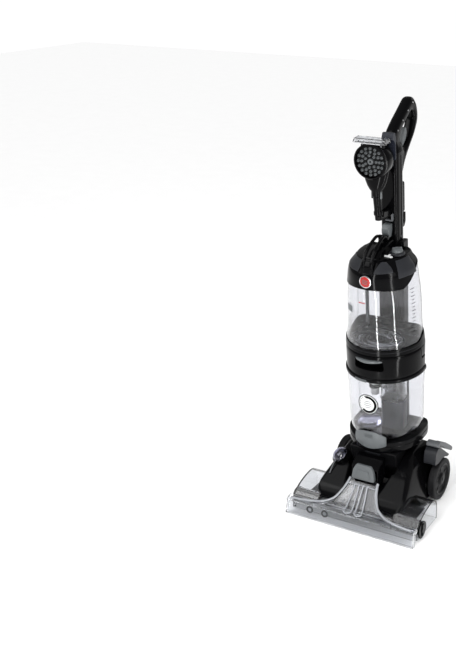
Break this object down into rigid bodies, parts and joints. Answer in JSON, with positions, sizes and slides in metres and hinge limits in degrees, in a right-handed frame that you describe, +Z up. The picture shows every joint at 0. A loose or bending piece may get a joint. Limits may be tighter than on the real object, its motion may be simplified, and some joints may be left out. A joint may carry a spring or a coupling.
{
  "type": "upright carpet cleaner",
  "caption": "Upright carpet washer: wheeled base with clear nozzle and gear brushes, two stacked clear tanks, reclining handle and a clipped-on hand tool.",
  "frame": {"origin": "middle of the bounding box in X and Y, at floor height", "axes": "+Z up, -Y is the front that the nozzle faces, +X to the right seen from the front"},
  "size_m": [0.3906, 0.3634, 1.1053],
  "materials": {
    "clear_plastic": "clear moulded polycarbonate",
    "black_gloss": "glossy black moulded ABS",
    "dark_grey": "satin dark-grey plastic",
    "light_grey": "satin light-grey plastic",
    "rubber": "soft black rubber",
    "tyre_rubber": "black tyre rubber with fine grooves",
    "bristle": "dark nylon gear and bristle tufts",
    "steel": "plain steel",
    "white_plastic": "off-white plastic"
  },
  "bodies": {
    "base": {"brush_hood": "clear_plastic", "side_cap_right": "black_gloss", "side_cap_left": "black_gloss", "brush_carrier": "dark_grey", "brush_motor": "steel", "spray_bar": "dark_grey", "shell_right": "black_gloss", "shell_left": "black_gloss", "base_pan": "dark_grey", "rear_axle": "steel", "wheel_guard": "dark_grey", "base_duct": "black_gloss", "indicator_window": "clear_plastic"},
    "nozzle": {"nozzle_cover": "clear_plastic", "nozzle_back": "clear_plastic"},
    "latch_nozzle": {"nozzle_latch": "light_grey"},
    "brush_1": {"gear_brush_1": "bristle"},
    "brush_2": {"gear_brush_2": "bristle"},
    "brush_3": {"gear_brush_3": "bristle"},
    "brush_4": {"gear_brush_4": "bristle"},
    "brush_5": {"gear_brush_5": "bristle"},
    "brush_6": {"gear_brush_6": "bristle"},
    "pinion": {"drive_pinion": "light_grey"},
    "wheel_r": {"wheel_right": "dark_grey", "tyre_right": "tyre_rubber"},
    "wheel_l": {"wheel_left": "dark_grey", "tyre_left": "tyre_rubber"},
    "pedal": {"release_pedal": "light_grey"},
    "rotor": {"indicator_rotor": "white_plastic"},
    "upright": {"motor_housing": "black_gloss", "suction_motor": "steel", "solution_pump": "dark_grey", "spine": "black_gloss", "tank_shelf": "black_gloss", "post": "black_gloss", "cord_gland": "rubber", "cord_hook_lower": "black_gloss", "handle_loop": "black_gloss", "tool_clip": "dark_grey"},
    "fan": {"fan_impeller": "light_grey"},
    "recovery": {"recovery_tank": "clear_plastic", "recovery_lid": "black_gloss", "lid_grip": "light_grey", "recovery_tower": "dark_grey"},
    "float_ball": {"float": "white_plastic"},
    "latch_tank": {"tank_latch": "light_grey"},
    "clean": {"clean_tank": "clear_plastic", "tank_band": "black_gloss", "tank_cap": "black_gloss", "carry_handle": "black_gloss", "pickup_tube": "light_grey", "outlet_valve": "dark_grey"},
    "latch_strap": {"strap_latch": "light_grey"},
    "filler": {"fill_cap": "dark_grey"},
    "switch": {"power_switch": "light_grey"},
    "trigger_lever": {"trigger": "light_grey"},
    "hook": {"cord_hook_upper": "black_gloss"},
    "tool": {"tool_body": "black_gloss", "tool_nozzle": "clear_plastic"},
    "tool_turbine": {"tool_brush": "bristle"}
  },
  "joints": [
    {"name": "nozzle_lift_off", "type": "slide", "parent": "base", "child": "nozzle", "axis": [0, -1, 0], "range_m": [0, 0.12]},
    {"name": "nozzle_latch_turn", "type": "hinge", "parent": "base", "child": "latch_nozzle", "pos_m": [0, -0.08645, 0.10882], "axis": [1, 0, 0], "range_deg": [0, 25], "stiffness_Nm_per_rad": 0.05, "springref_deg": -11.46},
    {"name": "brush_1_spin", "type": "hinge", "parent": "base", "child": "brush_1", "pos_m": [-0.126, -0.10045, 0.01582], "axis": [0, 0, 1], "continuous": true},
    {"name": "brush_2_spin", "type": "hinge", "parent": "base", "child": "brush_2", "pos_m": [-0.0756, -0.10045, 0.01582], "axis": [0, 0, 1], "continuous": true},
    {"name": "brush_3_spin", "type": "hinge", "parent": "base", "child": "brush_3", "pos_m": [-0.0252, -0.10045, 0.01582], "axis": [0, 0, 1], "continuous": true},
    {"name": "brush_4_spin", "type": "hinge", "parent": "base", "child": "brush_4", "pos_m": [0.0252, -0.10045, 0.01582], "axis": [0, 0, 1], "continuous": true},
    {"name": "brush_5_spin", "type": "hinge", "parent": "base", "child": "brush_5", "pos_m": [0.0756, -0.10045, 0.01582], "axis": [0, 0, 1], "continuous": true},
    {"name": "brush_6_spin", "type": "hinge", "parent": "base", "child": "brush_6", "pos_m": [0.126, -0.10045, 0.01582], "axis": [0, 0, 1], "continuous": true},
    {"name": "pinion_spin", "type": "hinge", "parent": "base", "child": "pinion", "pos_m": [0.0252, -0.05845, 0.02882], "axis": [0, 0, 1], "continuous": true},
    {"name": "wheel_right_roll", "type": "hinge", "parent": "base", "child": "wheel_r", "pos_m": [0.15, 0.08955, 0.05982], "axis": [1, 0, 0], "continuous": true},
    {"name": "wheel_left_roll", "type": "hinge", "parent": "base", "child": "wheel_l", "pos_m": [-0.15, 0.08955, 0.05982], "axis": [1, 0, 0], "continuous": true},
    {"name": "pedal_press", "type": "hinge", "parent": "base", "child": "pedal", "pos_m": [0.137, 0.05555, 0.17582], "axis": [-1, 0, 0], "range_deg": [0, 5], "stiffness_Nm_per_rad": 0.6, "springref_deg": -11.46},
    {"name": "rotor_spin", "type": "hinge", "parent": "base", "child": "rotor", "pos_m": [-0.1, -0.04045, 0.13432], "axis": [-0.435, -0.4707, 0.7677], "continuous": true},
    {"name": "recline", "type": "hinge", "parent": "base", "child": "upright", "pos_m": [0, 0.08955, 0.05982], "axis": [-1, 0, 0], "range_deg": [0, 60]},
    {"name": "fan_spin", "type": "hinge", "parent": "upright", "child": "fan", "pos_m": [0, 0.06643, 0.16509], "axis": [0, -0.0785, 0.9969], "continuous": true},
    {"name": "recovery_slide_out", "type": "slide", "parent": "upright", "child": "recovery", "axis": [0, -0.9969, -0.0785], "range_m": [0, 0.18]},
    {"name": "float_rise", "type": "slide", "parent": "recovery", "child": "float_ball", "axis": [0, -0.0785, 0.9969], "range_m": [0, 0.02]},
    {"name": "tank_latch_turn", "type": "hinge", "parent": "recovery", "child": "latch_tank", "pos_m": [0, -0.06378, 0.2391], "axis": [-1, 0, 0], "range_deg": [0, 25], "stiffness_Nm_per_rad": 0.05, "springref_deg": -11.46},
    {"name": "clean_lift_off", "type": "slide", "parent": "upright", "child": "clean", "axis": [0, -0.9774, 0.2113], "range_m": [0, 0.18]},
    {"name": "strap_latch_press", "type": "slide", "parent": "upright", "child": "latch_strap", "axis": [0, 0.0785, -0.9969], "range_m": [0, 0.006], "stiffness_N_per_m": 300, "springref_m": -0.003},
    {"name": "fill_cap_turn", "type": "hinge", "parent": "clean", "child": "filler", "pos_m": [0.044, -0.00022, 0.7316], "axis": [0, -0.0785, 0.9969], "range_deg": [0, 90]},
    {"name": "switch_rock", "type": "hinge", "parent": "upright", "child": "switch", "pos_m": [0, 0.0882, 0.86997], "axis": [1, 0, 0], "range_deg": [0, 10]},
    {"name": "trigger_pull", "type": "hinge", "parent": "upright", "child": "trigger_lever", "pos_m": [0, 0.09788, 0.98909], "axis": [-1, 0, 0], "range_deg": [0, 8], "stiffness_Nm_per_rad": 0.2, "springref_deg": -8.59},
    {"name": "cord_hook_turn", "type": "hinge", "parent": "upright", "child": "hook", "pos_m": [0, 0.08291, 0.77526], "axis": [0, 0.9969, 0.0785], "range_deg": [0, 180]},
    {"name": "tool_lift_off", "type": "slide", "parent": "upright", "child": "tool", "axis": [0, -0.8446, 0.5354], "range_m": [0, 0.15]},
    {"name": "tool_brush_spin", "type": "hinge", "parent": "tool", "child": "tool_turbine", "pos_m": [0, -0.07467, 0.97652], "axis": [0, 0.9969, 0.0785], "continuous": true}
  ],
  "couplings": [
    {"joint": "pinion_spin", "follows": "brush_4_spin", "ratio": -1.5},
    {"joint": "brush_1_spin", "follows": "brush_4_spin", "ratio": -1},
    {"joint": "brush_2_spin", "follows": "brush_4_spin", "ratio": 1},
    {"joint": "brush_3_spin", "follows": "brush_4_spin", "ratio": -1},
    {"joint": "brush_5_spin", "follows": "brush_4_spin", "ratio": -1},
    {"joint": "brush_6_spin", "follows": "brush_4_spin", "ratio": 1}
  ]
}
